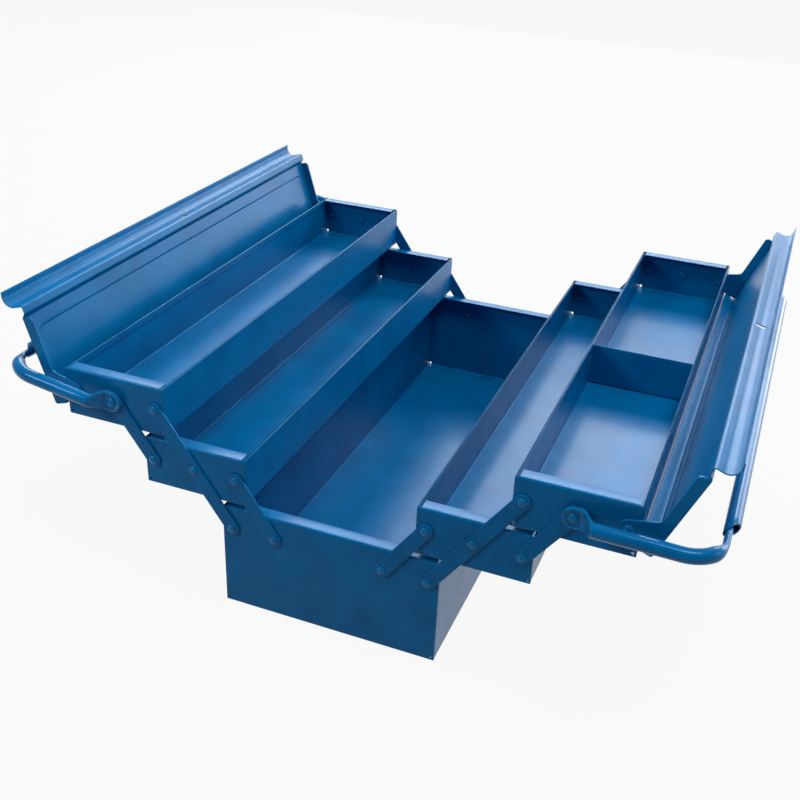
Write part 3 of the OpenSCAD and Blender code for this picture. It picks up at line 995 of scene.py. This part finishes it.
@dataclass
class Lid:
    """One lid: a pressed and folded sheet, and a flat bracket at each end that carries it."""

    side: Side
    open_angle: float
    pivot: tuple[float, float]
    end_y: float
    # Distance of the pivot from the middle of the case when it is folded shut
    centre_in: float
    half_l: float = 264.7
    pivot_in: float = 8.5
    over: float = 2.5
    top: float = 25.5
    bead_w: float = 9.6
    bead_fall: float = 3.7
    # Radii of the folds at the skirt, at the panel's inner edge, in the bead and at the ridge
    skirt_r: float = 2.2
    panel_r: float = 1.8
    bead_r: float = 1.2
    wall_r: float = 1.0
    ridge_w: float = 20.8
    ridge_h: float = 11.5
    ridge_r: float = 9.0
    ridge_reach: float = 4.8
    ridge_fall: float = 15.0
    # How much higher the left ridge is, to lap over the right one
    ridge_lap: float = 2.6
    seat_gap: float = 0.3
    field_margin: float = 13.0
    field_r: float = 6.5
    field_step: float = 0.6
    field_slope: float = 1.6
    # How far from the skirt, and how deep below the panel, the press still moves the sheet
    press_in: float = 3.0
    press_depth: float = 0.3
    slot_h: float = 10.5
    slot_w: float = 5.5
    slot_up: float = 1.2
    # Thickness and edge of the slot's cutter
    cutter_t: float = 6.0
    cutter_edge: float = 0.05
    strip_h: float = 8.5
    lobe_r: float = 8.0
    lobe_run: float = 19.5
    # Length of each leg of the rounding where the strip turns down to the lobe
    hollow: float = 3.5
    strip_r: float = 3.5
    # Distance of the bracket from the skirt's outer face, and radius of its edges
    bracket_in: float = 2.1
    bracket_edge: float = 0.4

    @property
    def out(self) -> float:
        """Distance of the skirt's outer face from the pivot."""
        return self.pivot_in + self.over

    @property
    def ridge_at(self) -> float:
        """Place of the ridge's wall across the lid."""
        return self.ridge_w / 2 - self.centre_in

    @property
    def bead_at(self) -> float:
        """Place across the lid where the panel drops into the bead."""
        return self.ridge_at + self.bead_w

    def in_place(self, shape: Shape) -> Shape:
        """Swings a shape from the shut lid's frame to where the lid stands open."""
        return shape.turned(self.open_angle).moved(self.pivot[0], 0, self.pivot[1])

    def section(self) -> tuple[list[tuple[float, float]], list[float]]:
        """Draws the lid's section, outwards and upwards from its pivot with the lid shut.

        Returns:
            The section's corners and fold radii: down the skirt's inner hem, up the skirt, across
            the panel on the pressed field's lines, down into the bead, up the ridge's wall, over
            its rolled shoulder and along its lip.
        """
        s = SIZES
        skirt = self.top - self.skirt_h
        ridge_top = self.top + self.ridge_h + (self.ridge_lap if self.side is Side.LEFT else 0)
        turn = math.radians(90 + self.ridge_fall)
        shoulder_z = ridge_top - self.ridge_r
        fall = math.radians(self.ridge_fall)
        tip_x = -(self.centre_in + self.ridge_reach)
        touch = np.array([self.ridge_at - self.ridge_r - self.ridge_r * math.sin(fall),
                          shoulder_z + self.ridge_r * math.cos(fall)])
        tip_z = touch[1] - (touch[0] - tip_x) * math.tan(fall)
        bead_z = self.top - self.bead_fall
        lines = self.field_lines(self.out - self.field_margin, self.bead_at + self.field_margin)
        hem_at = self.out - s.hem
        before = [(hem_at, skirt + s.hem_h), (hem_at, skirt), (self.out, skirt),
                  (self.out, self.top)]
        after = [(self.bead_at, self.top), (self.bead_at - self.bead_fall, bead_z),
                 (self.ridge_at, bead_z),
                 (self.ridge_at, shoulder_z + self.ridge_r * math.tan(turn / 2)), (tip_x, tip_z)]
        corners = before + [(x, self.top) for x in lines] + after
        radii = [s.hem_r, s.hem_r, self.skirt_r] + [0.0] * len(lines)
        return corners, radii + [self.panel_r, self.bead_r, self.wall_r, self.ridge_r]

    @property
    def skirt_h(self) -> float:
        """Depth of the skirt whose edge meets the tray's wall when the lid stands open."""
        a = math.radians(self.open_angle)
        return self.top - (self.pivot_in + self.seat_gap - self.out * math.cos(a)) / math.sin(a)

    @staticmethod
    def field_lines(start: float, stop: float) -> Array:
        """Returns the grid lines across the pressed field, close together at its two edges."""
        near = FIELD_ROWS * math.copysign(1, stop - start)
        middle = np.linspace(start + near[-1], stop - near[-1], 6)[1:-1]
        return np.concatenate([start + near, middle, (stop - near)[::-1]])

    def pressed(self, shape: Shape) -> Shape:
        """Presses the field of the panel out by its step.

        The height rises smoothly over the slope's width, across the edge of a rectangle with
        round corners: the distance d outside it is |max(q, 0)| + min(max(qx, qy), 0) - r, where
        q is the distance from its middle less its half size, plus r.

        Args:
            shape: The swept lid in the shut lid's frame.

        Returns:
            The lid with both faces of its panel moved up inside the field.
        """
        x, y, z = shape.points.T
        left, right = self.bead_at + self.field_margin, self.out - self.field_margin
        half = np.array([(right - left) / 2, self.half_l - self.field_margin])
        q = np.abs(np.stack([x - (left + right) / 2, y], 1)) - half + self.field_r
        d = np.linalg.norm(np.maximum(q, 0), axis=1) + np.minimum(q.max(1), 0) - self.field_r
        on_panel = z > self.top - SIZES.sheet - self.press_depth
        on_panel &= (x > self.bead_at) & (x < self.out - self.press_in)
        lift = smooth_step(0.5 - d / self.field_slope) * self.field_step * on_panel
        return Shape(np.stack([x, y, z + lift], 1), shape.faces)

    def sheet(self) -> tuple[Shape, list[Shape]]:
        """Draws the lid's sheet and the cutter of its padlock slot."""
        inner = self.field_lines(self.field_margin - self.half_l, self.half_l - self.field_margin)
        lines = np.concatenate([[-self.half_l], inner, [self.half_l]])
        swept = sweep_sheet(*self.section(), SIZES.sheet, lines, SIZES.edge_r)
        lid = self.pressed(to_length(swept))
        arc = on_circle(np.linspace(0, math.pi, 17), self.slot_w / 2)
        straight = np.array([0, (self.slot_h - self.slot_w) / 2])
        outline = np.concatenate([arc + straight, -arc - straight])
        slot_z = self.top - self.bead_fall + self.slot_up + self.slot_h / 2
        slot = to_width(plate(outline, self.cutter_t, self.cutter_edge))
        slot = slot.moved(self.ridge_at - self.cutter_t / 2, 0, slot_z)
        return self.in_place(lid), [self.in_place(slot)]

    def bracket(self) -> tuple[Shape, list[Shape]]:
        """Draws the front bracket: a strip under the panel and a lobe round the pivot.

        Returns:
            The bracket and the drill for its pivot. The lobe's arc starts where the line from
            the strip touches it and ends where the line to the skirt does. The hollow corner
            between them is a parabola whose legs meet at the corner.
        """
        s = SIZES
        under, end = self.top - s.sheet, self.bead_at + s.sheet
        corner = np.array([end + self.strip_r, under - self.strip_h + self.strip_r])
        out = self.out - self.bracket_in
        run = np.array([-self.lobe_run, under - self.strip_h])
        touch = math.pi - math.atan2(run[1], self.lobe_run)
        touch += math.acos(self.lobe_r / np.linalg.norm(run))
        near = math.atan2(self.lobe_r, out)
        near += 2 * math.pi - math.acos(self.lobe_r / math.hypot(out, self.lobe_r))
        strip, lobe = np.linspace(math.pi, 1.5 * math.pi, 8), np.linspace(touch, near, 26)
        down = self.lobe_r * np.array([math.cos(touch), math.sin(touch)]) - run
        legs = run + self.hollow * np.array([[-1.0, 0.0], unit(down)])
        v = np.linspace(0, 1, 7)[:, None]
        outline = np.concatenate([
            [[out, under], [end, under]],
            corner + on_circle(strip, self.strip_r),
            (1 - v) ** 2 * legs[0] + 2 * v * (1 - v) * run + v**2 * legs[1],
            on_circle(lobe, self.lobe_r),
            [[out, self.lobe_r]],
        ])
        flat = plate(outline, s.link_t, self.bracket_edge)
        y = -self.end_y - s.link_gap
        hole = drill(*self.pivot, s.hole_d, y - s.link_t / 2)
        return self.in_place(to_length(flat).moved(y=y)), [hole]

    def build(self, shop: Workshop) -> None:
        """Builds the lid's sheet and its two brackets."""
        body = f"lid_{self.side.tag}"
        lid, slot = self.sheet()
        shop.finish(body, body, Slot.LIDS, lid.placed(self.side),
                    [cut.placed(self.side) for cut in slot])
        node = f"lid_bracket_{{}}_{self.side.tag}"
        shop.finish_ends(node, body, Slot.LIDS, self.side, *self.bracket())


@dataclass
class Handle:
    """One handle: a tubular bar with pinched ends, and two arms crushed flat at their pivots."""

    side: Side
    open_angle: float
    reach: float
    # How far the loose bar has slid back along its arms
    slide: float
    pivot: tuple[float, float]
    end_y: float
    tube_r: float = 6.0
    wall: float = 1.2
    bend_r: float = 28.0
    arm_y: float = 14.3
    bar_half: float = 237.8
    slant: float = 50.0
    paddle_r: float = 9.2
    paddle_t: float = 3.0
    paddle_y: float = 3.9
    paddle_l: float = 5.5
    flare_l: float = 11.5
    rim_h: float = 1.5
    neck_r: float = 2.8
    # How far the arms' drawn necks lie off the bar's centre line, towards the pivot
    neck_off: float = 1.7
    neck_in: float = 13.0
    # Distance of the neck's last rows from its tip, the share of its radius that is left at the
    # tip, and how far the tip bulges
    tip_rows: tuple[float, float] = (1.2, 0.4)
    tip_share: float = 0.7
    tip_bulge: float = 0.1
    # Angle along the bend from which the tube is drawn down to the neck, and over which
    draw_from: float = 48.0
    draw_by: float = 36.0
    # Distance from the pivot at which the rim starts to rise, and over which it does
    rim_from: float = 5.4
    rim_by: float = 2.4
    # Exponent of the paddle's squarish section, and what the flare adds to make it round
    square: float = 0.55
    rounding: float = 0.45
    # Depth and width of the dish in the flare
    dish_h: float = 1.6
    dish_w: float = 3.4
    # Share that the bar's ends are pinched by, over which length, and where their slant fades
    pinch: float = 0.35
    pinch_l: float = 9.0
    fade: float = 26.0
    # Bulge of the wall's cut edge
    lip: float = 0.3
    bar_sides: int = 48
    arm_sides: int = 64

    def in_place(self, shape: Shape) -> Shape:
        """Turns a shape from the handle's frame to where the handle hangs open."""
        return shape.turned(-self.open_angle).moved(self.pivot[0], 0, self.pivot[1])

    def bar(self) -> Shape:
        """Draws the bar, with each open end cut on the slant and pinched onto the arm's neck.

        A row of the wall at a distance e from an end lies at y = -half + e + x tan(slant)
        (1 - e/fade)^2, so the slant fades along the tube. The pinch scales z by 1 - p (1 - c),
        where p falls from the end inwards and c = ((1 + cos t)/2)^0.8 is 1 on the outer side.

        Returns:
            The closed wall of the tube, in the handle's frame.
        """
        near = PINCH_ROWS
        total = 2 * self.bar_half
        middle = np.linspace(near[-1], total - near[-1], 9)[1:-1]
        rows = np.concatenate([near, middle, total - near[::-1]])
        b = np.linspace(0, math.pi, 6)[1:-1]
        rim_r = self.tube_r - self.wall / 2 + self.wall / 2 * np.cos(b)
        bulge = self.lip * np.sin(b)
        radii = np.concatenate([np.full(len(rows), self.tube_r), rim_r,
                                np.full(len(rows), self.tube_r - self.wall), rim_r[::-1]])
        along = np.concatenate([rows, total + bulge, rows[::-1], -bulge])
        t = around(self.bar_sides)
        x = radii[:, None] * np.cos(t)
        z = radii[:, None] * np.sin(t)
        e = np.minimum(along, total - along)[:, None]
        outer = ((1 + np.cos(t)) / 2) ** 0.8
        flat = self.pinch * (1 - smooth_step(e / self.pinch_l)) * (1 - outer)
        lean = x * math.tan(math.radians(self.slant)) * np.clip(1 - e / self.fade, 0, None) ** 2
        sign = np.where(along < self.bar_half, 1, -1)[:, None]
        y = along[:, None] - self.bar_half + sign * lean + self.slide
        points = np.stack([self.reach + x, y, z * (1 - flat)], -1)
        return Shape(points.reshape(-1, 3), [ring_faces(len(radii), len(t), True)[:, ::-1]])

    def arm(self) -> tuple[Shape, list[Shape]]:
        """Draws the front arm in the handle's frame.

        Each section is a superellipse in its own (p, q): p = a |cos t|^n towards the outside of
        the bend and q = b |sin t|^n upwards. Its centre runs straight out from the pivot, shifts
        out through the flare, and then turns on the bend's circle towards the bar. Round the
        pivot the outer face has a raised rim, and a dish runs from it into the flare.

        Returns:
            The arm, and the drill for its pivot.
        """
        tube_to = self.reach - self.neck_off - self.bend_r
        psi = np.linspace(0.1, 1, 8) * math.pi / 2
        flare = np.linspace(0, 1, 15)[1:]
        bend = np.radians(np.linspace(0, 90, 19)[1:])
        neck_l = self.end_y + self.arm_y - self.bend_r - self.bar_half + self.neck_in
        first, last = self.tip_rows
        neck = np.concatenate([np.linspace(0, neck_l - first, 7)[1:], [neck_l - last, neck_l]])
        tip_x = -self.paddle_r * np.cos(psi)
        flat_x = np.linspace(0, self.paddle_l, 6)[1:]
        flare_x = self.paddle_l + flare * self.flare_l
        tube_x = np.linspace(flare_x[-1], tube_to, 5)[1:]
        straight = np.concatenate([tip_x, flat_x, flare_x, tube_x])
        f = smooth_step((straight - self.paddle_l) / self.flare_l)
        tip = np.where(straight < 0, np.sqrt(np.clip(1 - (straight / self.paddle_r) ** 2, 0, 1)), 1)
        flat_y = -(self.end_y + self.paddle_y)
        tube_y = -(self.end_y + self.arm_y)
        turn_y = tube_y + self.bend_r
        drawn = smooth_step((np.degrees(bend) - self.draw_from) / self.draw_by)
        cx = np.concatenate([straight, tube_to + self.bend_r * np.sin(bend),
                             np.full(len(neck), tube_to + self.bend_r)])
        cy = np.concatenate([flat_y + (tube_y - flat_y) * f, turn_y - self.bend_r * np.cos(bend),
                             turn_y + neck])
        tilt = np.concatenate([np.zeros(len(straight)), bend, np.full(len(neck), math.pi / 2)])
        beyond = np.concatenate([
            self.tube_r + (self.neck_r - self.tube_r) * drawn,
            self.neck_r * np.where(neck < neck_l, 1.0, self.tip_share),
        ])
        half_t = self.paddle_t / 2
        a = np.concatenate([(half_t + (self.tube_r - half_t) * f) * tip**0.3, beyond])
        b = np.concatenate([(self.paddle_r + (self.tube_r - self.paddle_r) * f) * tip, beyond])
        none = np.zeros(len(beyond))
        n = np.concatenate([self.square + self.rounding * f, none + 1])
        rim = np.concatenate([1 - f, none])
        dish = np.concatenate([4 * f * (1 - f), none])
        c, s = on_circle(around(self.arm_sides)).T
        p = a[:, None] * np.sign(c) * np.abs(c) ** n[:, None]
        q = b[:, None] * np.sign(s) * np.abs(s) ** n[:, None]
        away = np.hypot(np.minimum(cx, 0)[:, None], q)
        outer = np.clip(c, 0, 1) ** 0.4
        rise = smooth_step((away - self.rim_from) / self.rim_by)
        p = p + self.rim_h * rim[:, None] * rise * outer
        p = p - self.dish_h * dish[:, None] * np.exp(-((q / self.dish_w) ** 2)) * outer
        sin, cos = np.sin(tilt)[:, None], np.cos(tilt)[:, None]
        points = np.stack([cx[:, None] + p * sin, cy[:, None] - p * cos, q], -1)
        poles = np.array([[-self.paddle_r, flat_y, 0], [cx[-1], cy[-1] + self.tip_bulge, 0]])
        faces = [ring_faces(len(cx), self.arm_sides)] + pole_faces(len(cx), self.arm_sides)
        shape = Shape(np.concatenate([points.reshape(-1, 3), poles]), faces)
        return shape, [drill(0, 0, SIZES.hole_d, flat_y, 2 * DRILL_L)]

    def build(self, shop: Workshop) -> None:
        """Builds the bar and the two arms."""
        tag = self.side.tag
        shop.finish(f"handle_bar_{tag}", f"handle_{tag}", Slot.HANDLES,
                    self.in_place(self.bar()).placed(self.side))
        arm, cuts = self.arm()
        holes = [self.in_place(cut) for cut in cuts]
        shop.finish_ends(f"handle_arm_{{}}_{tag}", f"handle_{tag}", Slot.HANDLES, self.side,
                         self.in_place(arm), holes)


@dataclass(frozen=True)
class Studio:
    """The pale floor, the soft lights and the camera at the photograph's place."""

    # Camera fitted to the photograph: place in mm, angles in degrees, focal length in pixels
    camera_at: tuple[float, float, float] = (303.70, -915.64, 625.98)
    azimuth: float = 20.393
    elevation: float = 29.191
    roll: float = 2.664
    focal_px: float = 1058.48
    centre_px: tuple[float, float] = (402.10, 408.72)
    sensor_mm: float = 36.0
    floor_size_m: float = 24.0
    # How far the floor lies below the case, so that the two don't share a plane
    floor_drop_m: float = 0.0004
    floor_grey: tuple[float, ...] = (0.3, 0.3, 0.31, 1)
    # How far the floor that the eye and the paint see is lifted to white
    floor_lift: float = 0.92
    # Way along Y between whose ends the surroundings brighten, and their strength there
    sky_y: tuple[float, float] = (-0.8, 0.9)
    sky_strength: tuple[float, float] = (0.10, 0.55)
    sky_colour: tuple[float, ...] = (0.97, 0.985, 1.0, 1)
    # Place at which the soft lights point, in metres
    aim: tuple[float, ...] = (0, 0, 0.15)
    # Name, place in metres, width and height in metres, and radiance of each soft light
    softboxes: tuple[tuple[str, tuple[float, ...], tuple[float, float], float], ...] = (
        ("overhead", (0.6, -0.4, 2.1), (0.9, 0.7), 14.0),
        ("behind_left", (-0.35, 2.05, 1.6), (2.8, 0.9), 8.6),
        ("behind_right", (1.45, 1.9, 0.6), (1.2, 1.1), 3.6),
        ("right", (2.1, 0.1, 1.1), (1.0, 1.0), 2.5),
        ("backdrop", (0.1, 2.7, 0.45), (3.4, 0.8), 2.4),
        ("front_left", (-0.75, -0.95, 0.95), (0.35, 0.35), 18.0),
    )

    def camera(self) -> None:
        """Makes the camera, whose axes follow from its azimuth, elevation and roll."""
        a, e, r = (math.radians(v) for v in (self.azimuth, self.elevation, self.roll))
        back = np.array([math.sin(a) * math.cos(e), -math.cos(a) * math.cos(e), math.sin(e)])
        level = np.array([math.cos(a), math.sin(a), 0.0])
        over = np.cross(back, level)
        right = level * math.cos(r) + over * math.sin(r)
        up = over * math.cos(r) - level * math.sin(r)
        data = bpy.data.cameras.new("photo_camera")
        data.sensor_width = self.sensor_mm
        data.lens = self.focal_px / PHOTO_SIDE * self.sensor_mm
        data.shift_x = (PHOTO_SIDE / 2 - self.centre_px[0]) / PHOTO_SIDE
        data.shift_y = (self.centre_px[1] - PHOTO_SIDE / 2) / PHOTO_SIDE
        data.clip_start, data.clip_end = 0.05, 60.0
        camera = add_object("photo_camera", data)
        camera.matrix_world = facing(right, up, back, np.array(self.camera_at) * MM)
        bpy.context.scene.camera = camera

    def floor(self) -> None:
        """Lays the matte white floor, lifted towards white where it is seen or mirrored."""
        half = self.floor_size_m / 2
        mesh = bpy.data.meshes.new("studio_floor")
        corners = [(-half, -half, 0), (half, -half, 0), (half, half, 0), (-half, half, 0)]
        mesh.from_pydata(corners, [], [(0, 1, 2, 3)])
        floor = add_object("studio_floor", mesh)
        floor.location.z = -self.floor_drop_m
        material = bpy.data.materials.new("matte_white_floor")
        tree = emptied(material)
        matte = add_node(tree, "ShaderNodeBsdfDiffuse", {"Color": self.floor_grey})
        glow = add_node(tree, "ShaderNodeEmission", {"Color": (1, 1, 1, 1), "Strength": 1.0})
        ray = add_node(tree, "ShaderNodeLightPath").outputs
        seen = ray["Is Camera Ray"]
        for name in ("Is Glossy Ray", "Is Transmission Ray"):
            links = {0: seen, 1: ray[name]}
            seen = add_node(tree, "ShaderNodeMath", links=links, operation="ADD").outputs[0]
        share = add_node(
            tree, "ShaderNodeMath", {1: self.floor_lift}, {0: seen}, operation="MULTIPLY"
        )
        mix = add_node(
            tree, "ShaderNodeMixShader",
            links={0: share.outputs[0], 1: matte.outputs[0], 2: glow.outputs[0]},
        )
        add_node(tree, "ShaderNodeOutputMaterial", links={"Surface": mix.outputs[0]})
        mesh.materials.append(material)

    def softbox(
        self, name: str, at: Sequence[float], size: tuple[float, float], radiance: float
    ) -> None:
        """Hangs a rectangular soft light that faces the case.

        Args:
            name: Name of the light.
            at: Its place, in metres.
            size: Its width and height, in metres.
            radiance: Its brightness, in watts per square metre and steradian.
        """
        data = bpy.data.lights.new(name, "AREA")
        data.shape, data.size, data.size_y = "RECTANGLE", *size
        data.energy = radiance * math.pi * size[0] * size[1]
        light = add_object(name, data)
        light.visible_camera = False
        back = unit(np.array(at) - self.aim)
        right = unit(np.cross([0, 0, 1], back))
        light.matrix_world = facing(right, np.cross(back, right), back, at)

    def world(self) -> None:
        """Lights the surroundings softly: brighter overhead and behind the case."""
        world = bpy.data.worlds.new("soft_studio")
        bpy.context.scene.world = world
        tree = emptied(world)
        way = add_node(tree, "ShaderNodeTexCoord").outputs["Generated"]
        axes = add_node(tree, "ShaderNodeSeparateXYZ", links={"Vector": way})
        ends = ("From Min", "From Max", "To Min", "To Max")
        behind = add_node(
            tree, "ShaderNodeMapRange", dict(zip(ends, self.sky_y + self.sky_strength)),
            {"Value": axes.outputs["Y"]}, interpolation_type="SMOOTHSTEP",
        )
        glow = add_node(
            tree, "ShaderNodeBackground", {"Color": self.sky_colour},
            {"Strength": behind.outputs["Result"]},
        )
        add_node(tree, "ShaderNodeOutputWorld", links={"Surface": glow.outputs["Background"]})

    def build(self) -> None:
        """Sets up the camera, the floor, the world and the softboxes."""
        self.camera()
        self.floor()
        self.world()
        for name, at, size, radiance in self.softboxes:
            self.softbox(name, at, size, radiance)


def build_case(frame: dict[str, Any]) -> None:
    """Builds every sub-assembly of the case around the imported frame.

    Args:
        frame: The loaded frame.
    """
    finishes = {
        Slot.TRAYS: Enamel("sprayed_blue_enamel_on_folded_sheet", "#006299", "#00588D"),
        Slot.LIDS: Enamel("sprayed_blue_enamel_on_pressed_lids", "#00659C", "#005B90"),
        Slot.LINKS: Enamel("sprayed_blue_enamel_on_bar", "#006097", "#005589", wave_height_mm=0.03),
        Slot.HANDLES: Enamel("sprayed_blue_enamel_on_tube", "#00649B", "#00598E", roughness=0.24,
                             gloss=0.3, coat=0.15, peel_height_mm=0.012, wave_height_mm=0.05),
        Slot.RIVETS: Enamel("sprayed_blue_enamel_on_rivets", "#006299", "#00588D", roughness=0.24,
                            gloss=0.3, coat=0.15, wave_height_mm=0.02),
    }
    shop = Workshop({slot: finish.material() for slot, finish in finishes.items()})
    pivots = Linkage.of(frame["joints"])
    base = Box.of("base_shell")
    end_y = -float(Box.of("base_end_front").low[1])
    s = SIZES

    outer, inner = pivots.base_outer, pivots.base_inner
    base_pivots = [(-outer[0], outer[1]), (-inner[0], inner[1]), inner, outer]
    Tray("base", "base", Side.RIGHT, base, end_y, base_pivots, [s.head_out] * 4).build(shop)
    Divider(Box.of("divider_right")).build(shop)
    # Opening angle of each lid, and angle above level, reach and slide of each handle
    open_lids = {Side.LEFT: 107.0, Side.RIGHT: 112.0}
    handles = {Side.LEFT: (9.0, 103.5, -7.0), Side.RIGHT: (-1.0, 110.0, 7.0)}
    centre_in = pivots.lid[0] - float(Box.of("top_shell_right").low[0]) + CENTRE_GAP / 2
    for side in Side:
        Tray("mid", f"mid_tray_{side.tag}", side, Box.of(f"mid_shell_{side.tag}", side), end_y,
             [pivots.mid_inner, pivots.mid_middle, pivots.mid_outer], [s.head_out] * 3).build(shop)
        Tray("top", f"top_tray_{side.tag}", side, Box.of(f"top_shell_{side.tag}", side), end_y,
             [pivots.top_inner, pivots.handle, pivots.lid],
             [s.head_out, s.handle_head_out, s.head_out]).build(shop)
        LinkBars(side, pivots, end_y).build(shop)
        Lid(side, open_lids[side], pivots.lid, end_y, centre_in).build(shop)
        Handle(side, *handles[side], pivots.handle, end_y).build(shop)


def main() -> None:
    """Loads the frame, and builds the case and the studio."""
    logging.basicConfig(level=logging.INFO, format="%(name)s: %(message)s")
    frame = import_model()
    bpy.context.scene.view_settings.view_transform = "Standard"
    Studio().build()
    build_case(frame)


if __name__ == "__main__":
    main()
